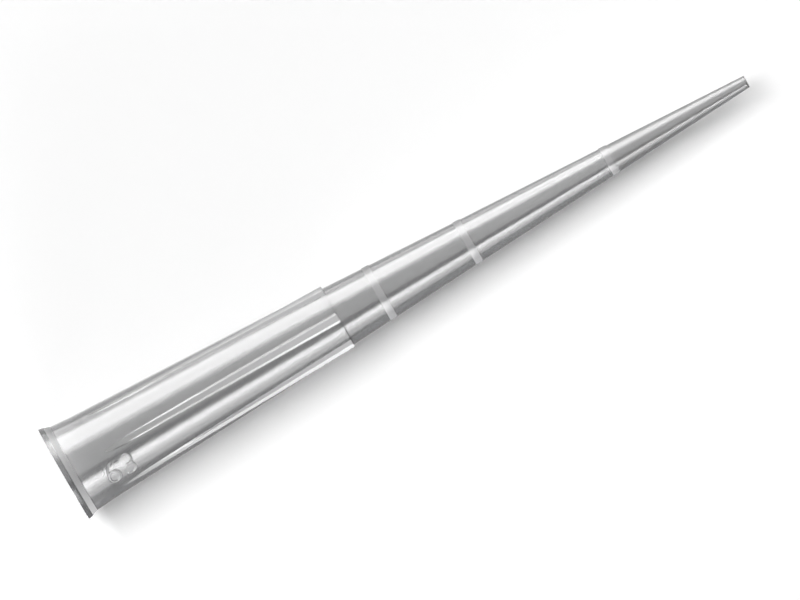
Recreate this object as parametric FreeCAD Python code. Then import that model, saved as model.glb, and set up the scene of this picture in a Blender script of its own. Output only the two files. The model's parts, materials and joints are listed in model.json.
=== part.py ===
import FreeCAD
import Part
import math
import os

# A disposable pipette tip, moulded in one piece from clear polypropylene. Millimetres.
# It stands on its mouth: the origin is the centre of the mouth's rim, +Z runs up the
# axis to the small end, and the first rib faces -Y. The mouth is pressed onto a
# pipette's nozzle, which seals on the seat. Liquid is drawn in at the small end, and
# the three raised rings mark how far up the bore each volume reaches.

# ---- lengths along the axis ----
tip_length = 56.0           # mouth to small end
barrel_length = 22.5        # mouth to the shoulder where the ribs end
knee_height = 33.2          # the stem's taper changes here
lip_length = 0.30           # band round the mouth's edge
flare_length = 0.55         # concave flare from that band to the collar
collar_length = 1.55        # steeper start of the barrel's taper
lead_in_length = 0.9        # cone that guides the nozzle into the mouth
seat_height = 2.8           # mouth to the start of the seat
seat_length = 3.0           # cylinder that the nozzle seals on
seat_step_length = 0.2      # short cone that narrows the bore to the seat
orifice_length = 0.6        # cylinder at the small end

# ---- bore radii ----
seat_radius = 2.72
socket_relief = 0.21        # how much wider the bore is just before the seat
lead_in_relief = 0.26       # and at the inner end of the lead-in
orifice_radius = 0.28

# ---- walls and outer radii ----
seat_wall = 0.40            # at the end of the seat, between the ribs
lip_wall = 0.21             # width of the flat rim at the mouth
flare_out = 0.285           # how far the mouth stands out from the barrel's taper
lip_taper = 0.05            # how much the lip band narrows
collar_out = 0.062          # how far the collar's start stands out from the barrel's taper
flare_hollow = 0.01         # how far the flare is hollowed below a straight cone
shoulder_radius = 2.385     # barrel between the ribs, just below the shoulder
shoulder_step = 0.105       # the stem starts this much smaller
shoulder_wall = 0.46
knee_radius = 1.68
knee_wall = 0.38
end_wall = 0.18

# ---- ribs: they grow out of the barrel and end square at the shoulder ----
rib_count = 6
rib_start_height = 3.4      # where each rib leaves the barrel's surface
rib_height = 0.30           # proud of the barrel at the shoulder
rib_width = 0.86            # across a rib's foot at the shoulder
rib_toe_width = 0.52        # across a rib's foot where it starts
rib_toe_depth = 0.005       # and how deep its crest lies there
rib_draft_deg = 18.0        # lean of a rib's sides
rib_crown = 0.03            # how much rounder than the barrel the crest is at the shoulder
rib_root = 0.15             # depth of a rib's foot in the wall
rib_end_chamfer = 0.08
first_rib_deg = -90.0

# ---- graduation rings ----
graduation_volumes = (10.0, 50.0, 100.0)    # cubic millimetres, filled from the small end
ring_width = 0.57
ring_proud = 0.04

axis = FreeCAD.Vector(0, 0, 1)
origin = FreeCAD.Vector(0, 0, 0)
full_turn_deg = 360.0

flare_end_height = lip_length + flare_length
collar_end_height = flare_end_height + collar_length
seat_end_height = seat_height + seat_length
orifice_height = tip_length - orifice_length
stem_foot_radius = shoulder_radius - shoulder_step
end_radius = orifice_radius + end_wall


def between(low, high, height):
    """Radius at a height on the straight taper between two (height, radius) stations."""
    share = (height - low[0]) / (high[0] - low[0])
    return low[1] + share * (high[1] - low[1])


def barrel_radius(height):
    """Outer radius of the barrel between its ribs, with the collar and the flare left out."""
    return between((seat_end_height, seat_radius + seat_wall), (barrel_length, shoulder_radius), height)


mouth_radius = barrel_radius(0) + flare_out
lip_radius = mouth_radius - lip_taper
collar_radius = barrel_radius(flare_end_height) + collar_out

# The bore from the seat up to the small end, as (height, radius) stations.
bore_stations = [
    (seat_end_height, seat_radius),
    (barrel_length, stem_foot_radius - shoulder_wall),
    (knee_height, knee_radius - knee_wall),
    (orifice_height, orifice_radius),
    (tip_length, orifice_radius),
]


def at(height, radius):
    """A point of a turned section."""
    return FreeCAD.Vector(radius, 0, height)


def straight_edges(stations):
    """Line edges that join (height, radius) stations."""
    points = [at(height, radius) for height, radius in stations]
    return [Part.makeLine(a, b) for a, b in zip(points, points[1:])]


def turned(edges):
    """The solid turned about the axis from a section's edges and the lines that close it."""
    first = edges[0].Vertexes[0].Point
    last = edges[-1].Vertexes[-1].Point
    foot = FreeCAD.Vector(0, 0, first.z)
    head = FreeCAD.Vector(0, 0, last.z)
    closing = [Part.makeLine(last, head), Part.makeLine(head, foot), Part.makeLine(foot, first)]
    section = Part.Face(Part.Wire(edges + closing))
    return section.revolve(origin, axis, full_turn_deg)


def stem_stations(proud=0.0):
    """Outer stations of the stem, from the shoulder to the small end."""
    return [
        (barrel_length, stem_foot_radius + proud),
        (knee_height, knee_radius + proud),
        (tip_length, end_radius + proud),
    ]


def flare_edge():
    """Hollow arc from the lip band to the collar."""
    middle = at((lip_length + flare_end_height) / 2, (lip_radius + collar_radius) / 2 - flare_hollow)
    return Part.Arc(at(lip_length, lip_radius), middle, at(flare_end_height, collar_radius)).toShape()


def outer_body():
    """Flare, collar, barrel and stem, solid right through."""
    lip = straight_edges([(0, mouth_radius), (lip_length, lip_radius)])
    barrel = straight_edges([
        (flare_end_height, collar_radius),
        (collar_end_height, barrel_radius(collar_end_height)),
        (barrel_length, shoulder_radius),
    ])
    step = straight_edges([(barrel_length, shoulder_radius), (barrel_length, stem_foot_radius)])
    return turned(lip + [flare_edge()] + barrel + step + straight_edges(stem_stations()))


def bore():
    """What the mould's core fills: lead-in, socket, seat, tapers and orifice."""
    mouth = [
        (0, mouth_radius - lip_wall),
        (lead_in_length, seat_radius + lead_in_relief),
        (seat_height - seat_step_length, seat_radius + socket_relief),
        (seat_height, seat_radius),
    ]
    return turned(straight_edges(mouth + bore_stations))


def rib_section(height, width, proud):
    """Closed outline of a rib across the axis, on the +X side, with its foot in the wall."""
    surface = barrel_radius(height)
    lean = math.tan(math.radians(rib_draft_deg))
    half_foot = width / 2 + rib_root * lean
    half_crest = width / 2 - proud * lean
    barrel_crown = surface - math.sqrt(surface ** 2 - half_crest ** 2)
    crown = barrel_crown + rib_crown * proud / rib_height
    foot = surface - rib_root
    crest = surface + proud
    left_foot = FreeCAD.Vector(foot, -half_foot, height)
    left_crest = FreeCAD.Vector(crest - crown, -half_crest, height)
    top = FreeCAD.Vector(crest, 0, height)
    right_crest = FreeCAD.Vector(crest - crown, half_crest, height)
    right_foot = FreeCAD.Vector(foot, half_foot, height)
    return Part.Wire([
        Part.makeLine(left_foot, left_crest),
        Part.Arc(left_crest, top, right_crest).toShape(),
        Part.makeLine(right_crest, right_foot),
        Part.makeLine(right_foot, left_foot),
    ])


def rib():
    """One rib, from its toe, which sinks into the barrel, to the chamfered end at the shoulder."""
    chamfer_height = barrel_length - rib_end_chamfer
    sections = [
        rib_section(rib_start_height, rib_toe_width, -rib_toe_depth),
        rib_section(chamfer_height, rib_width, rib_height),
        rib_section(barrel_length, rib_width - 2 * rib_end_chamfer, rib_height - rib_end_chamfer),
    ]
    return Part.makeLoft(sections, True, True)


def ribs():
    """The ribs, evenly spaced round the barrel."""
    spacing = full_turn_deg / rib_count
    return [rib().rotated(origin, axis, first_rib_deg + i * spacing) for i in range(rib_count)]


def graduation_height(volume):
    """Height down to which the volume fills the bore from the small end."""
    stations = bore_stations[::-1]
    for (top, top_radius), (foot, foot_radius) in zip(stations, stations[1:]):
        length = top - foot
        slope = (foot_radius - top_radius) / length
        squares = top_radius ** 2 + top_radius * foot_radius + foot_radius ** 2
        held = math.pi * length * squares / 3
        if held < volume:
            volume -= held
        elif slope == 0:
            return top - volume / (math.pi * top_radius ** 2)
        else:
            radius = (top_radius ** 3 + 3 * slope * volume / math.pi) ** (1 / 3)
            return top - (radius - top_radius) / slope
    raise ValueError("the bore above the seat holds less than this volume")


def rings():
    """The graduation rings: short slices of a stem that is a little larger."""
    larger_stem = turned(straight_edges(stem_stations(ring_proud)))
    slices = []
    for volume in graduation_volumes:
        foot = FreeCAD.Vector(0, 0, graduation_height(volume) - ring_width / 2)
        disc = Part.makeCylinder(shoulder_radius + ring_proud, ring_width, foot, axis)
        slices.append(larger_stem.common(disc))
    return slices


def pipette_tip():
    """The whole moulding."""
    return outer_body().fuse(ribs() + rings()).cut(bore()).removeSplitter()


os.makedirs("parts", exist_ok=True)
tip = pipette_tip()
solid = tip.Solids[0]
print("solids", len(tip.Solids), "valid", tip.isValid(), "volume", round(tip.Volume, 3))
print("rings at", [round(graduation_height(volume), 3) for volume in graduation_volumes])
solid.exportStep("parts/pipette_tip.step")
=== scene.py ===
import json
import math

import bpy
import numpy as np
from mathutils import Matrix, Vector


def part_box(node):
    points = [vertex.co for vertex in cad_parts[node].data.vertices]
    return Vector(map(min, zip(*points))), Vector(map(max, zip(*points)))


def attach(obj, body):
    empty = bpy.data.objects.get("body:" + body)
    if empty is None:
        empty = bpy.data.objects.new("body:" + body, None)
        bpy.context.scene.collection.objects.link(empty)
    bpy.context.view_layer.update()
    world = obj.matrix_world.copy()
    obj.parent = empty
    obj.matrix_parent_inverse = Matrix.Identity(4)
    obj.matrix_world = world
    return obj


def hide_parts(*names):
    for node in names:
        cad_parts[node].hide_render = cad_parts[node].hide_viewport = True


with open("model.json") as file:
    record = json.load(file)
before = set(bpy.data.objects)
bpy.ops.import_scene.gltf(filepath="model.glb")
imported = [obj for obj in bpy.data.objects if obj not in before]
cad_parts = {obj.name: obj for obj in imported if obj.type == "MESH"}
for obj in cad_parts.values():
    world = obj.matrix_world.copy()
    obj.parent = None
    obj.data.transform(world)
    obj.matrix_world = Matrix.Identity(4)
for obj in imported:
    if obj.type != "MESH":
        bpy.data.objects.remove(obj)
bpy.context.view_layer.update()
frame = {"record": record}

# Lengths are in millimetres until mesh_from_grid puts them in metres. The tip stands on its
# mouth at z = 0, its axis is +Z, and its first rib faces -Y.
MM = 0.001
NODE = "pipette_tip"
FULL_TURN = 2 * math.pi
SQUARE = math.pi / 2        # a quarter turn, the sweep of every rounded edge
NEAR = 1e-6                 # slack where a row lies on a boundary
SLIVER = 0.001              # width of the row beside a sharp change

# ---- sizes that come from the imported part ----
box_low, box_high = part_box(NODE)
MOUTH_RADIUS = (box_high[0] - box_low[0]) / 2 / MM
TIP_LENGTH = box_high[2] / MM
mounts = {mount["name"]: mount for mount in frame["record"]["mounts"]}
SEAT_RADIUS = mounts["nozzle_seat"]["dims"]["r_mm"]
SEAT_LENGTH = mounts["nozzle_seat"]["dims"]["length_mm"]
SEAT_START = mounts["nozzle_seat"]["pos_m"][2] / MM - SEAT_LENGTH / 2
SEAT_END = SEAT_START + SEAT_LENGTH
ORIFICE_RADIUS = mounts["orifice"]["dims"]["r_mm"]
ORIFICE_START = TIP_LENGTH - mounts["orifice"]["dims"]["length_mm"]
SHOULDER = mounts["rack_shoulder"]["pos_m"][2] / MM

# ---- outside ----
SEAT_WALL = 0.40
LIP_LENGTH = 0.30
LIP_TAPER = 0.05
FLARE_END = 0.85
FLARE_HOLLOW = 0.01
COLLAR_END = 2.4
COLLAR_OUT = 0.062
CLOSE_ROWS_END = 1.0        # the flare's end has rows close together up to here
SHOULDER_RADIUS = 2.385
STEM_FOOT_RADIUS = 2.28
KNEE = 33.2
KNEE_RADIUS = 1.68
END_RADIUS = 0.46
EDGE_ROUND = 0.02           # rounding of the rim and of the small end
STEP_FILLET = ((0.0, 0.02), (0.006, 0.006))     # foot of the shoulder's step: above it, off the stem
STEP_FLATS = (0.03, 0.05)   # rows that keep the stem's shading straight above the step
END_SHADE_LINE = 0.11             # painted shade: the small end's edge takes the dark lip plastic over this length

# ---- ribs ----
RIB_COUNT = 6
RIB_START = 3.4
RIB_HEIGHT = 0.30
RIB_FOOT = 0.40             # half of a rib's width at its foot, at the shoulder
RIB_TOE = 0.26
TOE_OPENING = 0.3           # how much the grid's columns open out again below the toe
RIB_DRAFT = math.radians(29.0)
RIB_CROWN = 0.085           # how far the crest would fall from its middle to above its foot
RIB_SHAPE = 5               # and how late it falls
RIB_ROUND = 0.07            # rounding of the crest's edges
RIB_FOOT_ROUND = 0.02       # and of the foot
RIB_CORNER = 0.09           # rounding of a rib's end, seen from outside
SHOULDER_ROUND = 0.045      # rounding of the shoulder's outer edge
FIRST_RIB = -math.pi / 2

# ---- graduation rings ----
RING_HEIGHTS = (25.90, 33.15, 44.76)
RING_WIDTH = 0.57
RING_PROUD = 0.04
RING_ROUND = 0.03           # rounding of a ring's edges, along the axis
RING_EDGE = 0.004           # and across it

# ---- fine lines round the barrel, where the mould's parts meet ----
MOULD_LINES = (2.56, 2.79)
MOULD_LINE_WIDTH = 0.08
MOULD_LINE_PROUD = 0.006

# ---- bore ----
LIP_WALL = 0.21
LEAD_IN = 0.9
LEAD_IN_RADIUS = 2.98
SOCKET_RADIUS = 2.93
SEAT_STEP = 0.6             # the cone that narrows the bore to the seat
SHOULDER_BORE = 1.82
KNEE_BORE = 1.30
RIM_ROUND = 0.03            # rounding of the rim's inner edge
BORE_MARGIN = 0.03          # distance of the rows beside each change of taper
BORE_SPACING = 5            # and of the rows between, at most about this

# ---- frosted band round the mouth ----
BAND_FOOT = 0.39
BAND_HEAD = 0.83


def taper(low, high, height):
    """Radius at a height on the line between two (height, radius) stations."""
    return low[1] + (height - low[0]) / (high[0] - low[0]) * (high[1] - low[1])


def smooth(share):
    """Smooth step from 0 to 1."""
    share = np.clip(share, 0.0, 1.0)
    return share * share * (3 - 2 * share)


def plain_radius(height):
    """Outside of the barrel on its own taper."""
    return taper((SEAT_END, SEAT_RADIUS + SEAT_WALL), (SHOULDER, SHOULDER_RADIUS), height)


def barrel_radius(height):
    """Outside of the barrel between the ribs, with the lip band, the flare and the collar."""
    collar = plain_radius(FLARE_END) + COLLAR_OUT
    if height < LIP_LENGTH:
        return MOUTH_RADIUS - LIP_TAPER * height / LIP_LENGTH
    if height < FLARE_END:
        share = (height - LIP_LENGTH) / (FLARE_END - LIP_LENGTH)
        cone = taper((LIP_LENGTH, MOUTH_RADIUS - LIP_TAPER), (FLARE_END, collar), height)
        return cone - FLARE_HOLLOW * 4 * share * (1 - share)
    if height < COLLAR_END:
        return taper((FLARE_END, collar), (COLLAR_END, plain_radius(COLLAR_END)), height)
    return plain_radius(height)


def mould_line_proud(height):
    """How far a mould line stands out of the barrel."""
    away = min(abs(height - line) for line in MOULD_LINES)
    return MOULD_LINE_PROUD * float(smooth(1 - 2 * away / MOULD_LINE_WIDTH))


def stem_radius(height):
    """Outside of the stem."""
    if height < KNEE:
        return taper((SHOULDER, STEM_FOOT_RADIUS), (KNEE, KNEE_RADIUS), height)
    return taper((KNEE, KNEE_RADIUS), (TIP_LENGTH, END_RADIUS), height)


def spread(low, high, count):
    """Evenly spaced heights from low up to, but without, high."""
    return [low + (high - low) * i / count for i in range(count)]


def outside_rows():
    """Rows of the outer surface from mouth to small end: (height, radius, ribbed, frosted)."""
    rows = []
    for turn in (0.0, 0.35, 0.7):       # rounded edge of the rim
        lean = turn * SQUARE
        rows.append((EDGE_ROUND * (1 - math.cos(lean)),
                     barrel_radius(EDGE_ROUND) - EDGE_ROUND * (1 - math.sin(lean)), False, False))
    heights = []
    stops = (EDGE_ROUND, LIP_LENGTH, BAND_FOOT, BAND_HEAD, FLARE_END, CLOSE_ROWS_END,
             NUMBER_FOOT, NUMBER_HEAD, SHOULDER - RIB_CORNER)
    for low, high, count in zip(stops, stops[1:], (4, 3, 5, 1, 4, 5, 60, 22)):
        heights += spread(low, high, count)
    for line in MOULD_LINES:
        heights += [line + MOULD_LINE_WIDTH / 2 * side for side in (-1, -0.5, 0, 0.5, 1)]
    for height in sorted(heights):
        frosted = BAND_FOOT - NEAR <= height < BAND_HEAD - NEAR
        rows.append((height, barrel_radius(height) + mould_line_proud(height), True, frosted))
    for share in (0.0, 0.25, 0.45, 0.6, 0.7):
        height = SHOULDER - RIB_CORNER * (1 - share)
        rows.append((height, barrel_radius(height), True, False))
    for turn in range(6):               # rounded edge of the shoulder and of the ribs' ends
        lean = turn / 5 * SQUARE
        height = SHOULDER - SHOULDER_ROUND * (1 - math.sin(lean))
        rows.append((height, barrel_radius(height) - SHOULDER_ROUND * (1 - math.cos(lean)), True, False))
    for above, out in STEP_FILLET:
        rows.append((SHOULDER + above, STEM_FOOT_RADIUS + out, False, False))
    rows.append((SHOULDER + STEP_FLATS[0], stem_radius(SHOULDER + STEP_FLATS[0]), False, False))
    start = SHOULDER + STEP_FLATS[1]
    for middle in RING_HEIGHTS:
        foot, head = middle - RING_WIDTH / 2, middle + RING_WIDTH / 2
        for height in spread(start, foot, 8):
            rows.append((height, stem_radius(height), False, False))
        edge = RING_PROUD - RING_EDGE
        for height, proud in (
            (foot, 0.0), (foot + SLIVER, edge), (foot + RING_ROUND, RING_PROUD),
            (middle, RING_PROUD), (head - RING_ROUND, RING_PROUD), (head - SLIVER, edge),
        ):
            rows.append((height, stem_radius(height) + proud, False, True))
        start = head
    for height in spread(start, TIP_LENGTH - END_SHADE_LINE, 16) + [TIP_LENGTH - END_SHADE_LINE + SLIVER]:
        rows.append((height, stem_radius(height), False, False))
    for turn in (0.0, 0.33, 0.66, 1.0):  # rounded edge of the small end
        lean = turn * SQUARE
        rows.append((TIP_LENGTH - EDGE_ROUND * (1 - math.sin(lean)),
                     stem_radius(TIP_LENGTH) - EDGE_ROUND * (1 - math.cos(lean)), False, False))
    return rows


def inside_rows():
    """Rows of the bore from the small end back to the mouth: (height, radius)."""
    stations = [
        (TIP_LENGTH, ORIFICE_RADIUS + EDGE_ROUND), (TIP_LENGTH - EDGE_ROUND, ORIFICE_RADIUS),
        (ORIFICE_START, ORIFICE_RADIUS), (KNEE, KNEE_BORE), (SHOULDER, SHOULDER_BORE),
        (SEAT_END, SEAT_RADIUS), (SEAT_START + SEAT_STEP / 2, SEAT_RADIUS),
        (SEAT_START - SEAT_STEP / 2, SOCKET_RADIUS), (LEAD_IN, LEAD_IN_RADIUS),
        (RIM_ROUND, MOUTH_RADIUS - LIP_WALL), (0.0, MOUTH_RADIUS - LIP_WALL + RIM_ROUND),
    ]
    rows = []
    for high, low in zip(stations, stations[1:]):
        length = high[0] - low[0]
        steps = max(1, round(length / BORE_SPACING))
        margin = min(BORE_MARGIN, length / 4)
        rows.append(high)
        rows.append((high[0] - margin, taper(low, high, high[0] - margin)))
        for i in range(1, steps):
            height = high[0] - length * i / steps
            rows.append((height, taper(low, high, height)))
        rows.append((low[0] + margin, taper(low, high, low[0] + margin)))
    rows.append(stations[-1])
    return rows


# Columns of the grid: across each rib, as shares of half its foot, and between two ribs.
HALF_RIB = [0.15, 0.3, 0.41, 0.48, 0.52, 0.56, 0.6, 0.64, 0.68, 0.73,
            0.79, 0.85, 0.9, 0.95, 0.98, 1.01, 1.04, 1.08, 1.16]
RIB_COLUMNS = [-share for share in reversed(HALF_RIB)] + [0.0] + HALF_RIB
VALLEY_COLUMNS = 20
NUMBER_VALLEY_COLUMNS = 70


def rib_half_foot(height):
    """Half of a rib's width at its foot. Below the toe the grid's columns open out again."""
    if height < RIB_START:
        return RIB_TOE + TOE_OPENING * (1 - height / RIB_START)
    if height <= SHOULDER:
        half = taper((RIB_START, RIB_TOE), (SHOULDER, RIB_FOOT), height)
        into = max(0.0, height - (SHOULDER - RIB_CORNER))
        return half - RIB_CORNER + math.sqrt(max(0.0, RIB_CORNER ** 2 - into ** 2))
    return (RIB_FOOT - RIB_CORNER) * stem_radius(height) / STEM_FOOT_RADIUS


def soft_min(a, b, blend):
    """The smaller of two numbers, rounded over where they meet."""
    near = max(0.0, 1 - abs(a - b) / blend)
    return min(a, b) - near * near * blend / 4


def rib_proud(height, share):
    """How far a rib stands out at a share of half its foot from its middle."""
    grown = max(0.0, (height - RIB_START) / (SHOULDER - RIB_START))
    if grown == 0:
        return 0.0
    side = abs(share) * RIB_FOOT
    crest = RIB_HEIGHT - RIB_CROWN * abs(share) ** RIB_SHAPE
    flank = (RIB_FOOT - side) / math.tan(RIB_DRAFT)
    return grown * -soft_min(-soft_min(crest, flank, RIB_ROUND), 0.0, RIB_FOOT_ROUND)


def columns_at(height, radius):
    """Angles round the axis of the grid's columns at a height, with each one's rib share or None."""
    half = rib_half_foot(height) / radius
    edge = RIB_COLUMNS[-1] * half
    spacing = FULL_TURN / RIB_COUNT
    columns = []
    for rib in range(RIB_COUNT):
        middle = FIRST_RIB + rib * spacing
        columns += [(middle + share * half, share) for share in RIB_COLUMNS]
        count = NUMBER_VALLEY_COLUMNS if rib == 0 else VALLEY_COLUMNS
        for i in range(1, count):
            columns.append((middle + edge + (spacing - 2 * edge) * i / count, None))
    return columns


# ---- the raised cavity number, read from mouth to small end with its tops towards -X ----
NUMBER_FOOT = 2.2
NUMBER_HEAD = 5.3
NUMBER_START = 2.68
NUMBER_WIDTH = 0.92
NUMBER_GAP = 0.34
NUMBER_TALL = 1.62
NUMBER_ANGLE = FIRST_RIB + math.radians(30.0)
NUMBER_STROKE = 0.082       # half of a stroke's width
NUMBER_SLOPE = 0.55         # how much of that slopes down to the barrel
NUMBER_PROUD = 0.045
FAR = 1e3                   # further away than any stroke


def arc_points(centre, radii, start_deg, end_deg, count=24):
    """Points of an elliptical arc, angles counter-clockwise from +x."""
    turns = np.radians(np.linspace(start_deg, end_deg, count))
    return [(centre[0] + radii[0] * math.cos(a), centre[1] + radii[1] * math.sin(a)) for a in turns]


def number_strokes():
    """Strokes of the digits 6 and 3, each in a box one wide and one tall."""
    three = [
        arc_points((0.48, 0.74), (0.42, 0.26), 125, -90),
        arc_points((0.46, 0.27), (0.48, 0.27), 90, -125),
    ]
    six = [
        arc_points((0.5, 0.30), (0.46, 0.30), 0, 360, 36),
        arc_points((0.86, 0.30), (0.82, 0.72), 180, 108),
    ]
    return [six, three]


def number_relief(heights, angles, radii):
    """How far the raised digits stand out at each point of the grid."""
    along = heights - NUMBER_START
    up = NUMBER_TALL / 2 - (angles - NUMBER_ANGLE) * radii
    near = np.full(along.shape, FAR)
    for place, strokes in enumerate(number_strokes()):
        left = place * (NUMBER_WIDTH + NUMBER_GAP)
        for stroke in strokes:
            points = np.array([(left + x * NUMBER_WIDTH, y * NUMBER_TALL) for x, y in stroke])
            for a, b in zip(points, points[1:]):
                step = b - a
                share = ((along - a[0]) * step[0] + (up - a[1]) * step[1]) / (step @ step)
                share = np.clip(share, 0, 1)
                away = np.hypot(along - a[0] - share * step[0], up - a[1] - share * step[1])
                near = np.minimum(near, away)
    return NUMBER_PROUD * smooth((NUMBER_STROKE - near) / (NUMBER_STROKE * NUMBER_SLOPE))


def mesh_from_grid(name, rows, slots):
    """A closed mesh from rows of points that run round the axis, the last row joined to the first.

    slots holds the material slot of every face, by row and column."""
    grid = np.array(rows) * MM
    n_rows, n_columns, _ = grid.shape
    index = np.arange(n_rows * n_columns).reshape(n_rows, n_columns)
    here, right = index, np.roll(index, -1, axis=1)
    above, above_right = np.roll(here, -1, axis=0), np.roll(right, -1, axis=0)
    faces = np.stack([here, right, above_right, above], axis=-1).reshape(-1, 4)
    mesh = bpy.data.meshes.new(name)
    mesh.from_pydata(grid.reshape(-1, 3).tolist(), [], faces.tolist())
    mesh.polygons.foreach_set("material_index", np.array(slots, dtype=np.int32).ravel())
    mesh.polygons.foreach_set("use_smooth", np.ones(len(faces), dtype=bool))
    mesh.update()
    mesh.validate()
    return mesh


# The mesh's material slots: finishes of the same plastic, and darker or paler copies of it that paint
# shade or highlights.
POLISHED, FROSTED, RIBBED, BORE, RAISED, EDGE_HIGHLIGHT, LIP, SMALL_END = range(8)
EDGE_SHARES = (0.41, 0.73)  # painted highlight: slightly paler lines along a rib's crest, as shares of half its foot
TOE_LENGTH = 2.5            # the rounded start of the paler rib plastic
SHARP_EDGE = math.radians(35)


def rib_slot(height, share):
    """Slot of a face of the barrel whose left column lies at a share of half a rib's foot.

    Between the ribs the share is None."""
    if share is None or not -1.0 <= share < 1.0 or height < RIB_START + TOE_LENGTH * share ** 2:
        return POLISHED
    inner, outer = EDGE_SHARES
    # painted highlight: faces at these shares take the slightly paler edge plastic
    on_edge = -outer <= share < -inner or inner <= share < outer
    return EDGE_HIGHLIGHT if on_edge else RIBBED


def outside_slot(height, frosted, digit, share):
    """Slot of a face of the outer surface, by its lower left corner."""
    # painted shade: the rim below the frosted band and the small end's edge take the dark lip plastic
    if height < BAND_FOOT - NEAR or height > TIP_LENGTH - END_SHADE_LINE:
        return LIP
    if frosted and height < SHOULDER:
        return FROSTED
    if frosted or digit > NUMBER_PROUD / 2:
        return RAISED
    # painted shade: beyond the last ring the polished plastic is a darker copy
    if height > RING_HEIGHTS[-1]:
        return SMALL_END
    return rib_slot(height, share)


def turned_points(reach, angles, height):
    """A row of points round the axis."""
    return np.stack([reach * np.cos(angles), reach * np.sin(angles), np.full(angles.shape, height)], -1)


def make_tip():
    """The whole moulding as one closed mesh: outside, small end, bore and rim."""
    rows, slots = [], []
    for height, radius, ribbed, frosted in outside_rows():
        columns = columns_at(height, radius)
        angles = np.array([angle for angle, _ in columns])
        proud = np.array([0.0 if share is None or not ribbed else rib_proud(height, share)
                          for _, share in columns])
        digits = np.zeros(angles.shape)
        if NUMBER_FOOT < height < NUMBER_HEAD:
            digits = number_relief(np.full(angles.shape, height), angles, radius)
        rows.append(turned_points(radius + proud + digits, angles, height))
        slots.append([outside_slot(height, frosted, digit, share if ribbed else None)
                      for (_, share), digit in zip(columns, digits)])
    for height, radius in inside_rows():
        angles = np.array([angle for angle, _ in columns_at(height, radius)])
        rows.append(turned_points(radius, angles, height))
        slots.append([BORE] * len(angles))
    mesh = mesh_from_grid("pipette_tip_moulding", rows, slots)
    mesh.set_sharp_from_angle(angle=SHARP_EDGE)
    return bpy.data.objects.new("pipette_tip_moulding", mesh)


def principled(material):
    """The material's shader node."""
    return next(n for n in material.node_tree.nodes if n.type == "BSDF_PRINCIPLED")


def grade_along_ribs(nodes, links, shader, start, early, end):
    """Grades a rib's grey from its start, by an early value, to its end at the shoulder; the paler grey
    towards the shoulder is partly the thicker plastic and partly painted light.
    """
    whole = nodes.new("ShaderNodeTexCoord")
    parts = nodes.new("ShaderNodeSeparateXYZ")
    grade = nodes.new("ShaderNodeMapRange")
    grade.inputs["From Min"].default_value = RIB_START * MM
    grade.inputs["From Max"].default_value = SHOULDER * MM
    ramp = nodes.new("ShaderNodeValToRGB")
    ramp.color_ramp.elements[0].color = (start, start, start, 1)
    ramp.color_ramp.elements[1].color = (*end, 1)
    middle = ramp.color_ramp.elements.new(EARLY_PLACE)
    middle.color = (early, early, early, 1)
    links.new(whole.outputs["Object"], parts.inputs["Vector"])
    links.new(parts.outputs["Z"], grade.inputs["Value"])
    links.new(grade.outputs["Result"], ramp.inputs["Fac"])
    links.new(ramp.outputs["Color"], shader.inputs["Base Color"])


def clear_plastic(name, colour, clear, rough, coat, bump=None, grades=None):
    """Clear, slightly milky moulded plastic under a polished skin, with fine unevenness in its polish.

    coat is the skin's weight and roughness, bump the unevenness's strength and depth, and grades the
    greys at a rib's start and soon after it."""
    material = bpy.data.materials.new(name)
    material.use_nodes = True
    nodes, links = material.node_tree.nodes, material.node_tree.links
    shader = principled(material)
    shader.inputs["Base Color"].default_value = (*colour, 1)
    if grades:
        grade_along_ribs(nodes, links, shader, *grades, colour)
    shader.inputs["IOR"].default_value = BASE_IOR
    shader.inputs["Transmission Weight"].default_value = clear
    shader.inputs["Coat Weight"].default_value = coat[0]
    shader.inputs["Coat Roughness"].default_value = coat[1]
    shader.inputs["Coat IOR"].default_value = COAT_IOR
    place = nodes.new("ShaderNodeTexCoord")
    noise = nodes.new("ShaderNodeTexNoise")
    noise.inputs["Scale"].default_value = NOISE_SCALE
    noise.inputs["Detail"].default_value = NOISE_DETAIL
    links.new(place.outputs["Object"], noise.inputs["Vector"])
    polish = nodes.new("ShaderNodeMapRange")
    polish.inputs["To Min"].default_value = rough[0]
    polish.inputs["To Max"].default_value = rough[1]
    links.new(noise.outputs["Fac"], polish.inputs["Value"])
    links.new(polish.outputs["Result"], shader.inputs["Roughness"])
    if bump:
        uneven = nodes.new("ShaderNodeBump")
        uneven.inputs["Strength"].default_value = bump[0]
        uneven.inputs["Distance"].default_value = bump[1]
        links.new(noise.outputs["Fac"], uneven.inputs["Height"])
        links.new(uneven.outputs["Normal"], shader.inputs["Normal"])
    return material


BASE_IOR = 1.35
COAT_IOR = 1.3
NOISE_SCALE = 900.0
NOISE_DETAIL = 3.0
EARLY_PLACE = 0.2           # share of a rib's length at which it has its early grey

POLISH_COLOUR = (0.19, 0.19, 0.194)
POLISH_CLEAR = 0.85
POLISH_ROUGH = (0.235, 0.265)
POLISH_COAT = (1.0, 0.18)
FROST_COLOUR = (0.36, 0.36, 0.364)
FROST_CLEAR = 0.7
FROST_ROUGH = (0.46, 0.54)
FROST_COAT = (0.0, 0.3)
FROST_BUMP = (0.3, 0.00002)
# Ribs: a paler, less clear copy of the plastic, paler towards the shoulder; partly the thicker plastic's
# milkiness, partly painted light for the light the ribs catch
RIB_COLOUR = (0.37, 0.37, 0.373)
RIB_CLEAR = 0.38
RIB_COAT = (0.65, 0.18)
RIB_GRADES = (0.15, 0.22)
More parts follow.
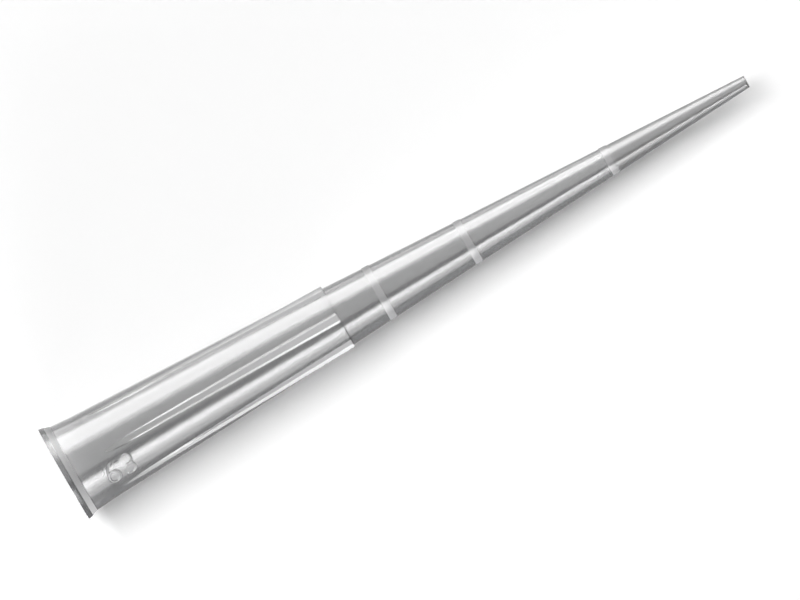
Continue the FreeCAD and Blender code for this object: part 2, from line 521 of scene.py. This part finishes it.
# painted highlight lines: the greys of the crest's edges at a rib's start and soon after it
EDGE_HIGHLIGHT_GRADES = (0.16, 0.22)
BORE_COLOUR = (0.95, 0.95, 0.95)
BORE_CLEAR = 0.9
BORE_ROUGH = (0.22, 0.28)
BORE_COAT = (0.0, 0.1)
RAISED_COLOUR = (0.20, 0.20, 0.203)
RAISED_CLEAR = 0.5
RAISED_ROUGH = (0.3, 0.36)
RAISED_COAT = (1.0, 0.2)
# painted shade: a darker copy of the polished plastic at the rim and at the small end's edge
LIP_SHADE_COLOUR = (0.08, 0.08, 0.082)
LIP_CLEAR = 0.75
LIP_COAT = (0.4, 0.13)
# painted shade: the polished plastic beyond the last ring, darker, under a weaker skin
END_SHADE_COLOUR = (0.165, 0.165, 0.168)
END_ROUGH = (0.28, 0.31)
END_COAT = (0.8, 0.16)

tip = make_tip()
bpy.context.collection.objects.link(tip)
for material in (           # in the order of the mesh's slots
    clear_plastic("polished_polypropylene", POLISH_COLOUR, POLISH_CLEAR, POLISH_ROUGH, POLISH_COAT),
    clear_plastic("frosted_polypropylene", FROST_COLOUR, FROST_CLEAR, FROST_ROUGH, FROST_COAT,
                  bump=FROST_BUMP),
    clear_plastic("rib_polypropylene", RIB_COLOUR, RIB_CLEAR, POLISH_ROUGH, RIB_COAT, grades=RIB_GRADES),
    clear_plastic("bore_polypropylene", BORE_COLOUR, BORE_CLEAR, BORE_ROUGH, BORE_COAT),
    clear_plastic("raised_polypropylene", RAISED_COLOUR, RAISED_CLEAR, RAISED_ROUGH, RAISED_COAT),
    # painted highlight lines along the ribs' crests, a little paler than the rib plastic near the ribs'
    # start
    clear_plastic("flank_polypropylene", RIB_COLOUR, RIB_CLEAR, POLISH_ROUGH, RIB_COAT,
                  grades=EDGE_HIGHLIGHT_GRADES),
    clear_plastic("lip_polypropylene", LIP_SHADE_COLOUR, LIP_CLEAR, POLISH_ROUGH, LIP_COAT),
    clear_plastic("end_polypropylene", END_SHADE_COLOUR, POLISH_CLEAR, END_ROUGH, END_COAT),
):
    tip.data.materials.append(material)
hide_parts(NODE)
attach(tip, "root")

# ---- stage: a floor, and a pale wall just behind the tip that takes its soft shadow ----
WALL_REACH = 0.4
WALL_GAP = 2.2              # millimetres between the small end and the wall
WALL_BEHIND = 0.1 * MM      # the wall's distance behind the mouth
WALL_FOOT_GLOW = 0.28       # painted light: what the wall adds by itself near the floor, which lightens its shadow until it fades out there
WALL_FOOT = 1.6 * MM
CARD_BEFORE_WALL = 0.05 * MM
FLOOR_REACH = 3.0
STAGE_WHITE = 0.92
FLOOR_OWN = 0.75
# painted shade: the grey that the mirrored card shows
CARD_OWN = 0.2
SEEN_RAYS = ("Is Camera Ray", "Is Glossy Ray", "Is Transmission Ray")


def any_ray(nodes, links, rays):
    """A socket that is 1 for these kinds of ray and 0 for the others."""
    path = nodes.new("ShaderNodeLightPath")
    found = path.outputs[rays[0]]
    for ray in rays[1:]:
        either = nodes.new("ShaderNodeMath")
        either.operation = "MAXIMUM"
        links.new(found, either.inputs[0])
        links.new(path.outputs[ray], either.inputs[1])
        found = either.outputs["Value"]
    return found


def pale(name, lit, own, one_sided, foot_glow=0.0):
    """A matt sheet that adds light of its own for the rays that see it, and still takes a shadow.

    lit is its colour, own what it adds all over, and foot_glow what it adds at the floor's height.
    A one-sided sheet can't be seen from behind."""
    material = bpy.data.materials.new(name)
    material.use_nodes = True
    nodes, links = material.node_tree.nodes, material.node_tree.links
    nodes.remove(principled(material))
    output = next(n for n in nodes if n.type == "OUTPUT_MATERIAL")
    diffuse = nodes.new("ShaderNodeBsdfDiffuse")
    diffuse.inputs["Color"].default_value = (lit, lit, lit, 1)
    glow = nodes.new("ShaderNodeEmission")
    glow.inputs["Strength"].default_value = own
    if foot_glow:
        place = nodes.new("ShaderNodeTexCoord")
        parts = nodes.new("ShaderNodeSeparateXYZ")
        fade = nodes.new("ShaderNodeMapRange")
        fade.interpolation_type = "SMOOTHSTEP"
        fade.inputs["From Max"].default_value = WALL_FOOT
        fade.inputs["To Min"].default_value = own + foot_glow
        fade.inputs["To Max"].default_value = own
        links.new(place.outputs["Object"], parts.inputs["Vector"])
        links.new(parts.outputs["Z"], fade.inputs["Value"])
        links.new(fade.outputs["Result"], glow.inputs["Strength"])
    both = nodes.new("ShaderNodeAddShader")
    links.new(diffuse.outputs["BSDF"], both.inputs[0])
    links.new(glow.outputs["Emission"], both.inputs[1])
    mix = nodes.new("ShaderNodeMixShader")
    links.new(any_ray(nodes, links, SEEN_RAYS), mix.inputs["Fac"])
    links.new(diffuse.outputs["BSDF"], mix.inputs[1])
    links.new(both.outputs["Shader"], mix.inputs[2])
    surface = mix.outputs["Shader"]
    if one_sided:
        side = nodes.new("ShaderNodeNewGeometry")
        clear = nodes.new("ShaderNodeBsdfTransparent")
        cut = nodes.new("ShaderNodeMixShader")
        links.new(side.outputs["Backfacing"], cut.inputs["Fac"])
        links.new(surface, cut.inputs[1])
        links.new(clear.outputs["BSDF"], cut.inputs[2])
        surface = cut.outputs["Shader"]
    links.new(surface, output.inputs["Surface"])
    return material


def plane(name, corners, material):
    """A flat sheet that isn't part of the tip."""
    mesh = bpy.data.meshes.new(name)
    mesh.from_pydata([tuple(c) for c in corners], [], [(0, 1, 2, 3)])
    mesh.materials.append(material)
    sheet = bpy.data.objects.new(name, mesh)
    bpy.context.collection.objects.link(sheet)
    return sheet


def leaning_sheet(name, left, right, forward, material):
    """A sheet that leans past the back of the mouth and of the small end, seen by chosen rays only."""
    foot_y, head_y = MOUTH_RADIUS * MM, (END_RADIUS + WALL_GAP) * MM
    lean = (head_y - foot_y) / (TIP_LENGTH * MM)
    low, high = -WALL_REACH, WALL_REACH
    low_y, high_y = (foot_y + lean * z + WALL_BEHIND - forward for z in (low, high))
    corners = [(left, low_y, low), (right, low_y, low), (right, high_y, high), (left, high_y, high)]
    sheet = plane(name, corners, material)
    sheet.visible_shadow = False
    sheet.visible_diffuse = False
    return sheet


def make_stage():
    """The floor, the wall and a card."""
    corners = [(x * FLOOR_REACH, y * FLOOR_REACH, 0) for x, y in ((-1, -1), (1, -1), (1, 1), (-1, 1))]
    floor = plane("floor", corners, pale("floor_white", STAGE_WHITE, FLOOR_OWN, False))
    floor.visible_shadow = False        # the lamps reach lower than the floor
    floor.visible_glossy = False        # and the world is as white as it
    wall = leaning_sheet("backdrop", -WALL_REACH, WALL_REACH, 0.0,
                         pale("backdrop_white", STAGE_WHITE, 0.0, True, WALL_FOOT_GLOW))
    wall.visible_glossy = False
    # painted shade: a grey card behind the right side, seen only in the polished surface's reflections,
    # darkens the mirrored backdrop on the shadow side
    card = leaning_sheet("grey_card", 0.0, WALL_REACH, CARD_BEFORE_WALL,
                         pale("card_grey", 0.0, CARD_OWN, True))
    card.visible_camera = False
    card.visible_transmission = False


make_stage()

# ---- light ----
CENTRE = Vector((0, 0, TIP_LENGTH / 2 * MM))
WORLD_LIGHT = 0.24
RISES = (-30, 42)           # heights above the horizon that the mirrored lamps span
NARROW_RISES = (-30, 12)

# name, angles round the axis from -Y towards +X, heights above the horizon, distance, radiance.
# Only matt surfaces take light from the first kind, and only polished ones mirror the second.
MATT_LAMPS = (
    ("key_above", (-36, -4), (4, 36), 0.9, 3.0),
    ("key_below", (-36, -4), (-36, -4), 0.9, 7.4),
    ("fill", (75, 90), (-36, -3), 0.6, 14.0),
    ("fill_back", (90, 116), (-36, -3), 0.6, 66.0),
)
MIRRORED_LAMPS = (
    ("soft_core", (-92, -52), RISES, 0.5, 9.2),
    ("soft_wide", (-97, -40), RISES, 0.52, 7.0),
    ("soft_step", (-124, -95), RISES, 0.52, 3.2),
    ("middle", (-60, 20), RISES, 0.54, 4.7),
    ("narrow_core", (40.5, 58.5), NARROW_RISES, 0.5, 9.5),
    ("narrow_mid", (40.5, 70.5), NARROW_RISES, 0.51, 6.0),
    ("narrow_tail", (40.5, 88.5), NARROW_RISES, 0.52, 4.8),
    ("rim", (-100, -80), (22, 42), 0.5, 8.0),
)


def lamp(name, turns, rises, distance, radiance, mirrored):
    """A soft rectangular lamp that spans two angles round the axis and two heights, in degrees."""
    data = bpy.data.lights.new(name, "AREA")
    data.shape = "RECTANGLE"
    data.size = 2 * distance * math.tan(math.radians(turns[1] - turns[0]) / 2)
    data.size_y = 2 * distance * math.tan(math.radians(rises[1] - rises[0]) / 2)
    data.energy = radiance * math.pi * data.size * data.size_y
    turn, rise = math.radians(sum(turns) / 2), math.radians(sum(rises) / 2)
    out = Vector((math.sin(turn) * math.cos(rise), -math.cos(turn) * math.cos(rise), math.sin(rise)))
    light = bpy.data.objects.new(name, data)
    light.location = CENTRE + out * distance
    across = Vector((math.cos(turn), math.sin(turn), 0))
    light.rotation_mode = "QUATERNION"
    light.rotation_quaternion = Matrix((across, out.cross(across), out)).transposed().to_quaternion()
    light.visible_camera = False
    light.visible_diffuse, light.visible_glossy = not mirrored, mirrored
    light.visible_transmission = False
    bpy.context.collection.objects.link(light)


for row in MATT_LAMPS:
    lamp(*row, False)
for row in MIRRORED_LAMPS:
    lamp(*row, True)


def make_world():
    """White for the rays that see it, and dimmer for the light that it gives to matt surfaces."""
    world = bpy.data.worlds.new("white")
    bpy.context.scene.world = world
    world.use_nodes = True
    nodes, links = world.node_tree.nodes, world.node_tree.links
    nodes.clear()
    output = nodes.new("ShaderNodeOutputWorld")
    back = nodes.new("ShaderNodeBackground")
    back.inputs["Color"].default_value = (1, 1, 1, 1)
    level = nodes.new("ShaderNodeMapRange")
    level.inputs["To Min"].default_value = WORLD_LIGHT
    level.inputs["To Max"].default_value = 1.0
    links.new(any_ray(nodes, links, SEEN_RAYS), level.inputs["Value"])
    links.new(level.outputs["Result"], back.inputs["Strength"])
    links.new(back.outputs["Background"], output.inputs["Surface"])


make_world()

# ---- camera ----
CAMERA_TURN = -1.3          # degrees round the tip's axis
CAMERA_ROLL = 60.1          # the tip's axis leans this far over to the right
VIEW_WIDTH = 56.86 * MM
AIM = (1.185 * MM, 26.9 * MM)   # across and along the tip
LENS = 1000.0
SENSOR = 36.0
CLIP = (0.01, 20.0)


def make_camera():
    """A distant camera, level with the tip and rolled over, so that the tip lies across the picture."""
    data = bpy.data.cameras.new("camera")
    data.lens = LENS
    data.sensor_width = SENSOR
    camera = bpy.data.objects.new("camera", data)
    bpy.context.collection.objects.link(camera)
    turn, roll = math.radians(CAMERA_TURN), math.radians(CAMERA_ROLL)
    back = Vector((math.sin(turn), -math.cos(turn), 0))
    side = Vector((math.cos(turn), math.sin(turn), 0))
    up = Vector((0, 0, 1))
    image_right = math.sin(roll) * up + math.cos(roll) * side
    image_up = math.cos(roll) * up - math.sin(roll) * side
    distance = VIEW_WIDTH * LENS / SENSOR
    camera.location = side * AIM[0] + up * AIM[1] + back * distance
    camera.rotation_mode = "QUATERNION"
    camera.rotation_quaternion = Matrix((image_right, image_up, back)).transposed().to_quaternion()
    data.clip_start, data.clip_end = CLIP
    bpy.context.scene.camera = camera


make_camera()

bpy.context.scene.view_settings.view_transform = "Standard"
